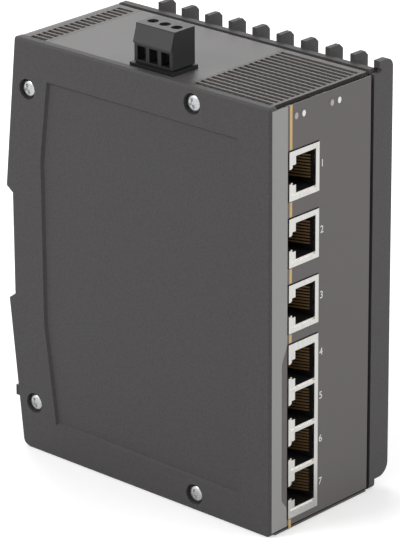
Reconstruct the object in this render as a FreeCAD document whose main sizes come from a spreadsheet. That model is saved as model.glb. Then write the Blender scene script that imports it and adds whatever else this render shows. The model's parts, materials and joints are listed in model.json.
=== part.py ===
import FreeCAD, Part
import os
import re

import Sketcher

# DIN rail ethernet switch, in millimetres.
# X runs from the side cover to the cooling fins, Y from the front to the rail, Z up.
# Every piece is drawn with zero at the cover's outer face, the front face and the
# plates' lower edge.  The whole switch is then set over the middle of its base.

SIZES = {
    # Side plates: the cover on the left and the base of the heat sink on the right
    "plate_high": 144.0,
    "plate_deep": 110.2,
    "heel_deep": 115.6,
    "corner_front_low": 2.0,
    "corner_front_top": 1.0,
    "corner_back_low": 3.0,
    "corner_back_top": 1.5,
    # Seat for a 35 mm top hat rail, cut into the rear of both plates
    "seat_deep": 112.2,
    "seat_mid": 72.0,
    "seat_high": 35.5,
    "seat_flare": 2.5,
    # Side cover
    "cover_thick": 3.0,
    "cover_lip": 0.8,
    "cover_edge_bevel": 0.7,
    "recess_deep": 1.0,
    "recess_slope": 35.0,
    "recess_front": 13.3,
    "recess_low": 11.0,
    "recess_low_rise": 0.9,
    "recess_top": 131.5,
    "recess_foot_back": 94.5,
    "recess_waist_back": 99.1,
    "recess_head_back": 95.6,
    "recess_waist_low": 47.0,
    "recess_waist_top": 104.0,
    # Four tie screws through the cover and the case into the heat sink
    "tie_front": 32.4,
    "tie_back": 104.5,
    "tie_front_rise": 66.4,
    "tie_back_rise": 55.1,
    "tie_radius": 1.3,
    "tie_free": 0.3,
    "tie_bite": 2.6,
    "tie_head_radius": 2.75,
    "tie_head_thick": 1.4,
    "tie_sink_radius": 3.5,
    "tie_sink_deep": 1.8,
    # Case: one moulded wall that runs over the top, down the rear and along the bottom
    "case_wide": 44.6,
    "case_drop": 0.2,
    "case_inset": 1.0,
    "wall": 2.0,
    "sill_front": 0.3,
    "sill_thick": 0.7,
    "sill_deep": 2.2,
    "boss_half": 3.0,
    "boss_long": 11.0,
    "boss_web_long": 6.4,
    "boss_web_half": 1.2,
    # Air grilles
    "grille_thick": 1.2,
    "grille_gap": 0.1,
    "grille_front": 1.9,
    "grille_undercut": 1.0,
    "grille_frame_front": 3.0,
    "grille_frame": 1.5,
    "grille_back": 35.4,
    "rear_grille_front": 97.9,
    "rear_grille_back": 107.4,
    "hole_pitch": 2.5,
    "hole_wide": 1.7,
    "hole_first_aside": 1.3,
    "hole_first_deep": 1.9,
    "hole_first_rear": 2.3,
    "slot_wide": 3.0,
    "slot_pitch": 5.0,
    "floor_vent_front": 42.0,
    "floor_vent_back": 98.0,
    # Front panel
    "panel_thick": 1.6,
    "panel_gap": 0.1,
    "panel_low": 1.6,
    "panel_top_drop": 1.1,
    "panel_chamfer": 1.2,
    "port_gap": 0.3,
    "hook_wide": 4.0,
    "hook_thick": 1.3,
    "hook_long": 4.4,
    "hook_left": 5.0,
    "hook_right": 38.0,
    # Four lamps above the ports
    "lamp_high": 138.8,
    "lamp_left_first": 12.1,
    "lamp_right_first": 28.9,
    "lamp_apart": 3.5,
    "lamp_wide": 1.8,
    "lamp_tall": 2.3,
    "lamp_gap": 0.1,
    "lamp_set_back": 0.1,
    "pipe_long": 7.4,
    "led_wide": 1.6,
    "led_thick": 1.0,
    "lamp_board_thick": 1.2,
    "lamp_board_low": 135.6,
    "lamp_board_left": 9.0,
    "lamp_board_right": 36.0,
    "strip_deep": 2.5,
    "strip_wide": 3.2,
    # Heat sink
    "groove_wide": 1.5,
    "groove_deep": 1.4,
    "groove_front": 2.6,
    "sink_thick": 2.6,
    "fin_long": 6.6,
    "fin_thick": 1.8,
    "fin_first_thick": 2.4,
    "fin_pitch": 10.3,
    "fin_low": 3.3,
    "fin_rise": 2.5,
    "fin_round_top": 3.0,
    "fin_round_low": 4.5,
    "notch_tall": 1.3,
    "notch_deep": 2.2,
    "notch_long": 2.9,
    "block_proud": 4.5,
    "block_spare": 2.0,
    # Network sockets: three single ones and a block of four
    "jack_left": 8.5,
    "jack_wide": 14.1,
    "jack_tall": 16.2,
    "jack_deep": 15.0,
    "jack_proud": 0.4,
    "jack_skin": 0.4,
    "jack_gap": 0.05,
    "jack_top_centre": 119.8,
    "jack_apart": 22.0,
    "block_centre": 34.0,
    "block_tall": 59.9,
    "port_pitch": 13.97,
    "port_near": 3.6,
    "port_far": 12.4,
    "port_half": 6.0,
    "port_deep": 12.0,
    "rim_near": 1.0,
    "rim_half": 6.5,
    "rim_deep": 0.5,
    "latch_outer": 2.0,
    "latch_half": 2.4,
    "latch_inner_half": 3.3,
    "latch_deep": 9.0,
    "wire_pitch": 1.02,
    "wire_wide": 0.5,
    "wire_thick": 0.35,
    "wire_long": 8.0,
    "wire_start": 1.8,
    "wire_angle": 112.0,
    # Boards, which stand on edge beside each other
    "board_thick": 1.6,
    "board_front": 3.0,
    "board_back": 99.0,
    "board_low": 8.5,
    "board_top": 134.5,
    "core_left": 38.0,
    "core_front": 10.0,
    "post_front": 38.0,
    "post_back": 93.0,
    "post_low": 14.0,
    "post_top": 122.0,
    "post_radius": 2.6,
    # Parts on the boards
    "magnet_thick": 5.6,
    "magnet_front": 18.0,
    "magnet_deep": 12.0,
    "magnet_tall": 11.0,
    "switch_chip_wide": 24.0,
    "switch_chip_thick": 2.4,
    "switch_chip_front": 43.0,
    "switch_chip_low": 48.0,
    "core_chip_wide": 15.0,
    "core_chip_thick": 1.4,
    "core_chip_front": 48.0,
    "core_chip_low": 86.0,
    "memory_wide": 8.0,
    "memory_tall": 13.0,
    "memory_thick": 1.1,
    "memory_front": 68.0,
    "memory_apart": 16.0,
    "crystal_long": 5.0,
    "crystal_wide": 3.2,
    "crystal_thick": 1.2,
    "crystal_front": 34.0,
    "transformer_thick": 11.5,
    "transformer_deep": 17.0,
    "transformer_tall": 16.0,
    "transformer_front": 66.0,
    "transformer_low": 106.0,
    "coil_thick": 7.0,
    "coil_wide": 12.0,
    "coil_front": 48.0,
    "coil_low": 110.0,
    "can_radius": 4.0,
    "can_long": 11.0,
    "can_front": 72.0,
    "can_low": 30.0,
    "can_apart": 11.0,
    "link_deep": 5.0,
    "link_tall": 40.0,
    "link_front": 44.0,
    "link_low": 60.0,
    # Power socket: the header inside the case and the screw plug on it
    "pole_pitch": 5.08,
    "pole_mid": 52.7,
    "header_left": 3.2,
    "header_wide": 12.2,
    "header_deep": 18.0,
    "header_top": 145.0,
    "header_floor": 137.9,
    "header_low": 132.0,
    "header_wall": 1.2,
    "header_gap": 0.2,
    "header_leg": 2.2,
    "header_leg_low": 128.0,
    "header_leg_top": 134.4,
    "pin_wide": 1.0,
    "pin_gap": 0.05,
    "pin_top": 143.2,
    "pin_low": 130.4,
    "pin_aside": 9.9,
    "plug_left": 4.6,
    "plug_right": 14.8,
    "plug_deep": 16.4,
    "plug_top": 157.6,
    "plug_shoulder": 151.9,
    "plug_slope": 1.0,
    "plug_rest": 0.3,
    "tongue_gap": 0.3,
    "entry_wide": 3.6,
    "entry_low": 145.9,
    "entry_tall": 4.6,
    "cage_mid": 10.0,
    "cage_long": 4.0,
    "cage_wide": 3.7,
    "cage_low": 146.1,
    "cage_tall": 4.9,
    "cage_bar": 0.8,
    "cage_cheek": 0.5,
    "cage_gap": 0.2,
    "cage_lift": 2.5,
    "leg_free": 0.3,
    "clamp_screw_radius": 1.1,
    "clamp_screw_free": 0.3,
    "clamp_head_radius": 1.5,
    "clamp_head_thick": 1.8,
    "clamp_hole_radius": 1.85,
    "clamp_shelf": 1.0,
    "clamp_screw_long": 4.4,
    "tie_bar_thick": 0.5,
    "tie_bar_rise": 3.4,
    "socket_low": 139.2,
    "socket_top": 144.2,
    "socket_leaf": 0.3,
    "socket_gap": 0.1,
    "socket_room": 0.3,
    # Rail fixing: a plate with a fixed hook above and a sprung foot below
    "fixing_wide": 27.0,
    "fixing_low": 22.0,
    "fixing_top": 96.0,
    "land_rise": 0.4,
    "land_gap": 0.5,
    "hook_reach": 3.2,
    "hook_shelf": 0.2,
    "hook_lip": 1.9,
    "hook_slope": 1.0,
    "hook_throat": 1.3,
    "foot_gap": 0.2,
    "foot_wide": 20.0,
    "foot_flange_thick": 1.4,
    "foot_neck_wide": 15.6,
    "foot_low": 15.0,
    "foot_nose_low": 48.0,
    "foot_lip_rise": 2.0,
    "foot_bar_wide": 41.6,
    "foot_bar_tall": 3.6,
    "foot_bar_back": 117.5,
    "window_low": 21.0,
    "window_top": 42.0,
    "window_wide": 8.0,
    "stop_low": 26.0,
    "stop_tall": 3.0,
    "stop_wide": 4.0,
    "spring_wide": 6.4,
    "spring_strip": 0.7,
    "spring_thick": 1.6,
    "fixing_screw_radius": 1.4,
    "fixing_screw_head": 2.6,
    "fixing_screw_aside": 10.5,
    "fixing_screw_free": 0.1,
    "fixing_screw_head_thick": 1.4,
}

# Places that follow from the sizes
PLACES = {
    "case_right": "cover_thick + case_wide",
    "sink_left": "cover_thick + case_wide + groove_wide",
    "fin_root": "cover_thick + case_wide + groove_wide + sink_thick",
    "fin_tip": "cover_thick + case_wide + groove_wide + sink_thick + fin_long",
    "case_mid": "cover_thick + case_wide / 2",
    "seat_low": "seat_mid - seat_high / 2",
    "seat_top": "seat_mid + seat_high / 2",
    "case_top": "plate_high - case_drop",
    "roof_under": "plate_high - case_drop - wall",
    "floor_over": "case_drop + wall",
    "case_back": "plate_deep - case_inset",
    "rear_inner": "plate_deep - case_inset - wall",
    "grille_under": "plate_high - case_drop - grille_thick",
    "panel_top": "plate_high - panel_top_drop",
    "jack_right": "jack_left + jack_wide",
    "board_right": "jack_left + jack_wide + board_thick",
    "core_right": "core_left + board_thick",
    "lamp_board_front": "lamp_set_back + pipe_long + led_thick",
    "foot_top": "seat_mid - seat_high / 2 - foot_gap",
    "fixing_back": "seat_deep - land_rise",
    "neck_front": "plate_deep - case_inset + foot_gap + foot_flange_thick",
    "neck_back": "seat_deep - foot_gap",
    "header_right": "header_left + header_wide",
    "plug_low": "header_top + plug_rest",
    "contact_half": "pin_wide / 2 + socket_gap + socket_leaf",
    "tongue_low": "header_floor + tongue_gap",
    "room_low": "cage_low - cage_gap",
    "room_top": "cage_low + cage_tall + cage_lift + cage_gap",
    "room_left": "cage_mid - cage_long / 2 - cage_gap",
    "room_right": "cage_mid + cage_long / 2 + 2 * leg_free + tie_bar_thick",
    "leg_left": "cage_mid + cage_long / 2 + leg_free",
    "leg_right": "cage_mid + cage_long / 2 + leg_free + tie_bar_thick",
    "mid_x": "(cover_thick + case_wide + groove_wide + sink_thick + fin_long) / 2",
    "mid_y": "(foot_bar_back - jack_proud) / 2",
}

PORTS_IN_BLOCK = 4
WIRES_PER_PORT = 8
FIN_COUNT = 10
POLE_COUNT = 3
HOLES_ACROSS = 17
FRONT_HOLE_ROWS = 13
REAR_HOLE_ROWS = 3
FLOOR_SLOTS = 8
SPRING_FOLDS = 7
CAPACITORS = 3
HEXAGON = 6
# Small round pieces out of sight are bars with this many sides, to keep them light
SIDES = 12
# Small round cuts and heads in plain sight, which repeat, have a few more
VISIBLE_SIDES = 16
NEAR = 0.001

X_AXIS = FreeCAD.Vector(1, 0, 0)
Y_AXIS = FreeCAD.Vector(0, 1, 0)
Z_AXIS = FreeCAD.Vector(0, 0, 1)
TURNS = {
    "x": FreeCAD.Rotation(Y_AXIS, 90),
    "y": FreeCAD.Rotation(X_AXIS, -90),
    "z": FreeCAD.Rotation(),
}

doc = FreeCAD.newDocument("rail_switch")
sheet = doc.addObject("Spreadsheet::Sheet", "sizes")
for row, (word, value) in enumerate(SIZES.items(), start=1):
    sheet.set(f"A{row}", word)
    sheet.set(f"B{row}", str(value))
    sheet.setAlias(f"B{row}", word)
doc.recompute()


def rule(text):
    """Point each size or place named in a rule at the object that holds it."""

    def owner(match):
        word = match.group()
        if word in SIZES:
            return "sizes." + word
        if word in PLACES:
            return "places." + word
        return word

    return re.sub(r"[a-z][a-z0-9_]*", owner, str(text))


places = doc.addObject("App::VarSet", "places")
for word, text in PLACES.items():
    places.addProperty("App::PropertyFloat", word)
    places.setExpression(word, rule(text))
doc.recompute()

kept = []


def size(word):
    """Read a size or a place as a number, for picking edges."""
    if word in SIZES:
        return sheet.get(word)
    return getattr(places, word)


def tie(item, **rules):
    """Bind properties of an object to rules over the sizes."""
    for name, text in rules.items():
        item.setExpression(name, rule(text))


def place(item, x, y, z):
    """Bind where an object stands."""
    for axis, text in zip("xyz", (x, y, z)):
        item.setExpression("Placement.Base." + axis, rule(text))


def keep(item, label):
    """Make an object a sub-part and move it over the middle of the base."""
    item.Label = label
    place(item, "-mid_x", "-mid_y", "0")
    kept.append(item)
    return item


# Primitives and booleans


def box(x_span, y_span, z_span):
    """A block between two limits along each axis."""
    item = doc.addObject("Part::Box", "Block")
    for name, (low, high) in zip(("Length", "Width", "Height"), (x_span, y_span, z_span)):
        item.setExpression(name, rule(f"({high}) - ({low})"))
    place(item, x_span[0], y_span[0], z_span[0])
    return item


def about(middle, half):
    """The two limits that lie the same way either side of a middle."""
    return (f"({middle}) - ({half})", f"({middle}) + ({half})")


def rod(axis, start, radius, length):
    """A round bar that starts at a point and runs along an axis."""
    item = doc.addObject("Part::Cylinder", "Rod")
    item.Placement.Rotation = TURNS[axis]
    tie(item, Radius=radius, Height=length)
    place(item, *start)
    return item


def bar(axis, start, radius, length, sides=SIDES):
    """A plain bar with a few sides, for a small round piece that repeats or is out of sight."""
    item = doc.addObject("Part::Prism", "Bar")
    item.Polygon = sides
    item.Placement.Rotation = TURNS[axis]
    tie(item, Circumradius=radius, Height=length)
    place(item, *start)
    return item


def fuse(*items):
    item = doc.addObject("Part::MultiFuse", "Joined")
    item.Shapes = list(items)
    item.Refine = True
    return item


def cut(base, *tools):
    item = doc.addObject("Part::Cut", "Trimmed")
    item.Base = base
    item.Tool = tools[0] if len(tools) == 1 else fuse(*tools)
    item.Refine = True
    return item


def group(label, *items):
    """Several separate solids kept as one sub-part."""
    item = doc.addObject("Part::Compound", "Group")
    item.Links = list(items)
    return keep(item, label)


# Sketches and features


def new_body(label):
    return keep(doc.addObject("PartDesign::Body", "Body"), label)


def sketch_on(body, role, lift):
    """An empty sketch on one of the body's own planes, lifted along its normal."""
    sketch = body.newObject("Sketcher::SketchObject", "Sketch")
    plane = next(item for item in body.Origin.OriginFeatures if item.Role == role)
    sketch.AttachmentSupport = [(plane, "")]
    sketch.MapMode = "FlatFace"
    sketch.setExpression("AttachmentOffset.Base.z", rule(lift))
    return sketch


def hold(sketch, item, point, x, y):
    """Bind one point of a sketch to rules for its distances from the origin."""
    here = sketch.getPoint(item, point)
    for kind, value, text in (("DistanceX", here.x, x), ("DistanceY", here.y, y)):
        index = sketch.addConstraint(Sketcher.Constraint(kind, -1, 1, item, point, value))
        sketch.setExpression(f"Constraints[{index}]", rule(text))


def add_outline(sketch, corners):
    """A closed outline of straight lines, held at every corner.

    It is first drawn on a circle, and the rules then pull it into shape.
    """
    first = sketch.GeometryCount
    count = len(corners)
    ring = Part.Circle(FreeCAD.Vector(count * 2, count * 2, 0), Z_AXIS, count)
    points = [ring.value(ring.LastParameter * index / count) for index in range(count)]
    for index in range(count):
        sketch.addGeometry(Part.LineSegment(points[index], points[(index + 1) % count]), False)
    for index in range(count):
        following = first + (index + 1) % count
        sketch.addConstraint(Sketcher.Constraint("Coincident", first + index, 2, following, 1))
    for index, (x, y) in enumerate(corners):
        hold(sketch, first + index, 1, x, y)


def add_rectangle(sketch, x_span, y_span):
    low_x, high_x = x_span
    low_y, high_y = y_span
    corners = [(low_x, low_y), (high_x, low_y), (high_x, high_y), (low_x, high_y)]
    add_outline(sketch, corners)


def add_circle(sketch, centre, radius):
    start = FreeCAD.Vector(5, 5, 0)
    item = sketch.addGeometry(Part.Circle(start, Z_AXIS, 1.0), False)
    hold(sketch, item, 3, *centre)
    index = sketch.addConstraint(Sketcher.Constraint("Radius", item, 1.0))
    sketch.setExpression(f"Constraints[{index}]", rule(radius))


def add_many_sided(sketch, centre, radius, sides=SIDES):
    """A hole for a bar with a few sides."""
    step = 360 / sides
    corners = []
    for index in range(sides):
        angle = step * index
        corners.append((f"{centre[0]} + ({radius}) * cos({angle})",
                        f"{centre[1]} + ({radius}) * sin({angle})"))
    add_outline(sketch, corners)


def pad(body, sketch, length, reverse=False):
    item = body.newObject("PartDesign::Pad", "Pad")
    item.Profile = sketch
    item.Reversed = reverse
    item.Refine = True
    tie(item, Length=length)
    return item


def pocket(body, sketch, length, reverse=False, slope=None):
    item = body.newObject("PartDesign::Pocket", "Pocket")
    item.Profile = sketch
    item.Reversed = reverse
    item.Refine = True
    tie(item, Length=length)
    if slope is not None:
        tie(item, TaperAngle=slope)
    return item


def picked_edges(body, pick):
    """The body's newest feature and the names of its edges that a function accepts."""
    doc.recompute()
    base = body.Tip
    names = [f"Edge{n}" for n, edge in enumerate(base.Shape.Edges, start=1) if pick(edge)]
    return base, names


def round_edges(body, radius, pick):
    edges = picked_edges(body, pick)
    item = body.newObject("PartDesign::Fillet", "Fillet")
    item.Base = edges
    tie(item, Radius=radius)


def bevel_edges(body, width, pick):
    edges = picked_edges(body, pick)
    item = body.newObject("PartDesign::Chamfer", "Chamfer")
    item.Base = edges
    tie(item, Size=width)


def runs_along(edge, axis):
    """Whether an edge is straight and parallel to an axis."""
    if edge.Curve.TypeId != "Part::GeomLine":
        return False
    return edge.Curve.Direction.cross(axis).Length < NEAR


def lies_at(edge, x=None, y=None, z=None):
    """Whether an edge's middle has the coordinates that are given."""
    middle = edge.BoundBox.Center
    for here, there in ((middle.x, x), (middle.y, y), (middle.z, z)):
        if there is not None and abs(here - there) > NEAR:
            return False
    return True


# Side plates

PLATE_OUTLINE = [
    ("0", "0"),
    ("plate_deep", "0"),
    ("heel_deep", "seat_low - seat_flare"),
    ("seat_deep", "seat_low"),
    ("seat_deep", "seat_top"),
    ("heel_deep", "seat_top + seat_flare"),
    ("plate_deep", "plate_high"),
    ("0", "plate_high"),
]

TIE_SPOTS = [
    ("tie_front", "seat_mid + tie_front_rise"),
    ("tie_back", "seat_mid + tie_back_rise"),
    ("tie_back", "seat_mid - tie_back_rise"),
    ("tie_front", "seat_mid - tie_front_rise"),
]


FIXING_SPOTS = [(f"case_mid {side} fixing_screw_aside", "seat_mid") for side in ("-", "+")]


def round_plate_corners(body):
    """Round the four outer corners of a side plate, seen from the side."""
    deep, high = size("plate_deep"), size("plate_high")
    corners = {
        "corner_front_low": (0, 0),
        "corner_front_top": (0, high),
        "corner_back_low": (deep, 0),
        "corner_back_top": (deep, high),
    }
    for radius, (y, z) in corners.items():
        # The body stands moved over the middle of the base, its features do not
        round_edges(body, radius, lambda edge, y=y, z=z: (
            runs_along(edge, X_AXIS) and lies_at(edge, y=y, z=z)))


def side_cover():
    body = new_body("side_cover")
    outline = sketch_on(body, "YZ_Plane", "0")
    add_outline(outline, PLATE_OUTLINE)
    pad(body, outline, "cover_thick")
    round_plate_corners(body)
    bevel_edges(body, "cover_edge_bevel", lambda edge: (
        runs_along(edge, Z_AXIS) and lies_at(edge, x=0, y=0)))

    rebate = sketch_on(body, "YZ_Plane", "cover_thick")
    add_rectangle(rebate, ("0", "panel_thick + panel_gap"),
                  ("panel_low - panel_gap", "panel_top + panel_gap"))
    pocket(body, rebate, "cover_thick - cover_lip")

    label_bed = sketch_on(body, "YZ_Plane", "0")
    add_outline(label_bed, [
        ("recess_front", "recess_low"),
        ("recess_foot_back", "recess_low + recess_low_rise"),
        ("recess_waist_back", "recess_waist_low"),
        ("recess_waist_back", "recess_waist_top"),
        ("recess_head_back", "recess_top"),
        ("recess_front", "recess_top"),
    ])
    pocket(body, label_bed, "recess_deep", reverse=True, slope="0 - recess_slope")

    sinks = sketch_on(body, "YZ_Plane", "0")
    holes = sketch_on(body, "YZ_Plane", "0")
    for spot in TIE_SPOTS:
        add_many_sided(sinks, spot, "tie_sink_radius", VISIBLE_SIDES)
        add_many_sided(holes, spot, "tie_radius + tie_free")
    pocket(body, sinks, "tie_sink_deep", reverse=True)
    pocket(body, holes, "cover_thick", reverse=True)


def tie_screws():
    """Pan head screws that hold the cover, the case and the heat sink together."""
    screws = []
    for y, z in TIE_SPOTS:
        seat = "tie_sink_deep"
        head = bar("x", (f"{seat} - tie_head_thick", y, z), "tie_head_radius",
                   "tie_head_thick", VISIBLE_SIDES)
        shank = bar("x", (seat, y, z), "tie_radius", f"case_right + tie_bite - {seat}")
        screws.append(fuse(head, shank))
    group("tie_screws", *screws)


# Case and its air grilles


def case_shell():
    body = new_body("case_shell")
    wall = sketch_on(body, "YZ_Plane", "cover_thick")
    add_outline(wall, [
        ("sill_front", "case_drop"),
        ("case_back", "case_drop"),
        ("case_back", "case_top"),
        ("rear_grille_back + grille_gap", "case_top"),
        ("rear_grille_back + grille_gap", "grille_under"),
        ("rear_grille_front - grille_gap", "grille_under"),
        ("rear_grille_front - grille_gap", "case_top"),
        ("grille_back + grille_gap", "case_top"),
        ("grille_back + grille_gap", "grille_under"),
        ("grille_frame_front", "grille_under"),
        ("grille_frame_front", "roof_under"),
        ("rear_inner", "roof_under"),
        ("rear_inner", "floor_over"),
        ("sill_deep", "floor_over"),
        ("sill_deep", "case_drop + sill_thick"),
        ("sill_front", "case_drop + sill_thick"),
    ])
    pad(body, wall, "case_wide")

    across = ("cover_thick + wall", "case_right - wall")
    windows = sketch_on(body, "XY_Plane", "case_top")
    add_rectangle(windows, across,
                  ("grille_frame_front + grille_frame", "grille_back - grille_frame"))
    add_rectangle(windows, across,
                  ("rear_grille_front + grille_frame", "rear_inner"))
    add_rectangle(windows, ("0", "header_right + header_gap"),
                  about("pole_mid", "header_deep / 2 + header_gap"))
    pocket(body, windows, "2 * wall")

    floor_window = sketch_on(body, "XY_Plane", "floor_over")
    add_rectangle(floor_window, across, ("floor_vent_front", "floor_vent_back"))
    pocket(body, floor_window, "2 * wall")

    webs = sketch_on(body, "YZ_Plane", "cover_thick")
    add_rectangle(webs, ("tie_front", "tie_front + boss_web_long"),
                  ("seat_mid + tie_front_rise - boss_web_half", "grille_under"))
    add_rectangle(webs, about("tie_front", "boss_web_half"),
                  ("case_drop + wall / 2", "seat_mid - tie_front_rise"))
    pad(body, webs, "boss_long")
    bosses = sketch_on(body, "YZ_Plane", "cover_thick")
    holes = sketch_on(body, "YZ_Plane", "cover_thick")
    for y, z in TIE_SPOTS:
        add_rectangle(bosses, about(y, "boss_half"), about(z, "boss_half"))
        add_many_sided(holes, (y, z), "tie_radius + tie_free")
    pad(body, bosses, "boss_long")
    pocket(body, holes, "boss_long", reverse=True)

    rear_holes = sketch_on(body, "XZ_Plane", "0 - case_back")
    for x, z in FIXING_SPOTS:
        add_many_sided(rear_holes, (x, z), "fixing_screw_radius + fixing_screw_free")
    pocket(body, rear_holes, "wall", reverse=True)

    # A small stop on the rear wall carries the lower end of the foot's spring
    stop = sketch_on(body, "XZ_Plane", "0 - case_back")
    add_rectangle(stop, about("case_mid", "stop_wide / 2"), ("stop_low", "stop_low + stop_tall"))
    pad(body, stop, "neck_back - case_back", reverse=True)


def lattice(x_span, y_span, first_y, rows):
    """A flat grille: a frame with bars along it, over a second layer of bars across it."""
    half = "hole_wide / 2"
    middle_z = "case_top - grille_thick / 2"
    first_x = "cover_thick + hole_first_aside"
    holes_x = (f"{first_x} - {half}", f"{first_x} + {HOLES_ACROSS - 1} * hole_pitch + {half}")
    holes_y = (f"{first_y} - {half}", f"{first_y} + {rows - 1} * hole_pitch + {half}")
    whole = ("grille_under", "case_top")
    pieces = [cut(box(x_span, y_span, whole), box(holes_x, holes_y, whole))]
    for column in range(HOLES_ACROSS - 1):
        start = f"{first_x} + {column} * hole_pitch + {half}"
        across = (start, f"{start} + hole_pitch - hole_wide")
        pieces.append(box(across, holes_y, (middle_z, "case_top")))
    for row in range(rows - 1):
        start = f"{first_y} + {row} * hole_pitch + {half}"
        along = (start, f"{start} + hole_pitch - hole_wide")
        pieces.append(box(holes_x, along, ("grille_under", middle_z)))
    return fuse(*pieces)


def air_grilles():
    """Lattices let into the top of the case, and a slotted grille in its floor."""
    across = ("cover_thick + grille_gap", "case_right - grille_gap")
    front = lattice(across, ("grille_front", "grille_back"),
                    "grille_front + hole_first_deep", FRONT_HOLE_ROWS)
    # The front edge is cut away below, which leaves a dark gap over the panel
    undercut = doc.addObject("Part::Wedge", "Undercut")
    undercut.Placement.Rotation = FreeCAD.Rotation(Y_AXIS, Z_AXIS, X_AXIS, "XYZ")
    tie(undercut, Xmin="0", Xmax="grille_undercut", X2min="0", X2max="0",
        Ymin="0", Ymax="grille_undercut", Zmin="0", Zmax="case_wide", Z2min="0",
        Z2max="case_wide")
    place(undercut, "cover_thick", "grille_front", "grille_under")
    keep(cut(front, undercut), "top_grille_front")

    rear = lattice(across, ("rear_grille_front", "rear_grille_back"),
                   "rear_grille_front + hole_first_rear", REAR_HOLE_ROWS)
    keep(rear, "top_grille_rear")

    frame = "floor_vent_front - grille_frame", "floor_vent_back + grille_frame"
    floor_level = ("floor_over", "floor_over + grille_thick")
    slots = []
    for index in range(FLOOR_SLOTS):
        start = f"cover_thick + wall + hole_first_aside + {index} * slot_pitch"
        slots.append(box((start, f"{start} + slot_wide"),
                         ("floor_vent_front", "floor_vent_back"), floor_level))
    edge = ("cover_thick + grille_frame", "case_right - grille_frame")
    keep(cut(box(edge, frame, floor_level), *slots), "floor_grille")


# Front panel and lamps

LAMPS = [
    "lamp_left_first",
    "lamp_left_first + lamp_apart",
    "lamp_right_first",
    "lamp_right_first + lamp_apart",
]

# Middle height and half height of each network socket's shell
SINGLE_JACKS = ["jack_top_centre", "jack_top_centre - jack_apart",
                "jack_top_centre - 2 * jack_apart"]


def front_panel():
    body = new_body("front_panel")
    plate = sketch_on(body, "XZ_Plane", "0")
    add_rectangle(plate, ("cover_lip + panel_gap", "case_right"), ("panel_low", "panel_top"))
    pad(body, plate, "panel_thick", reverse=True)
    thick, top = size("panel_thick"), size("panel_top")
    bevel_edges(body, "panel_chamfer", lambda edge: (
        runs_along(edge, X_AXIS) and lies_at(edge, y=thick, z=top)))

    holes = sketch_on(body, "XZ_Plane", "0")
    across = ("jack_left - port_gap", "jack_right + port_gap")
    for middle in SINGLE_JACKS:
        add_rectangle(holes, across, about(middle, "jack_tall / 2 + port_gap"))
    add_rectangle(holes, across, about("block_centre", "block_tall / 2 + port_gap"))
    for middle in LAMPS:
        add_rectangle(holes, about(middle, "lamp_wide / 2 + lamp_gap"),
                      about("lamp_high", "lamp_tall / 2 + lamp_gap"))
    pocket(body, holes, "panel_thick")

    hooks = sketch_on(body, "XZ_Plane", "0 - panel_thick")
    for left in ("hook_left", "hook_right"):
        across = (left, f"{left} + hook_wide")
        add_rectangle(hooks, across, ("floor_over + port_gap", "floor_over + port_gap + hook_thick"))
        add_rectangle(hooks, across, ("roof_under - port_gap - hook_thick", "roof_under - port_gap"))
    pad(body, hooks, "hook_long", reverse=True)


def lamps():
    """Light pipes behind the panel, the lamps behind them and the board they stand on."""
    pipes = []
    lights = []
    for middle in LAMPS:
        pipes.append(box(about(middle, "lamp_wide / 2"),
                         ("lamp_set_back", "lamp_set_back + pipe_long"),
                         about("lamp_high", "lamp_tall / 2")))
        lights.append(box(about(middle, "led_wide / 2"),
                          ("lamp_set_back + pipe_long", "lamp_board_front"),
                          about("lamp_high", "led_wide / 2")))
    group("light_pipes", *pipes)
    group("status_lamps", *lights)
    board_back = "lamp_board_front + lamp_board_thick"
    group("lamp_board", box(("lamp_board_left", "lamp_board_right"),
                            ("lamp_board_front", board_back),
                            ("lamp_board_low", "grille_under - grille_gap")))
    group("lamp_board_link", box(about("(jack_right + board_right) / 2", "strip_wide / 2"),
                                 (board_back, f"{board_back} + strip_deep"),
                                 ("board_top", "board_top + strip_wide")))


# Heat sink

# Front edge, lower edge and width of the chips that the heat sink cools
HOT_CHIPS = [
    ("switch_chip_front", "switch_chip_low", "switch_chip_wide"),
    ("core_chip_front", "core_chip_low", "core_chip_wide"),
]


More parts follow.
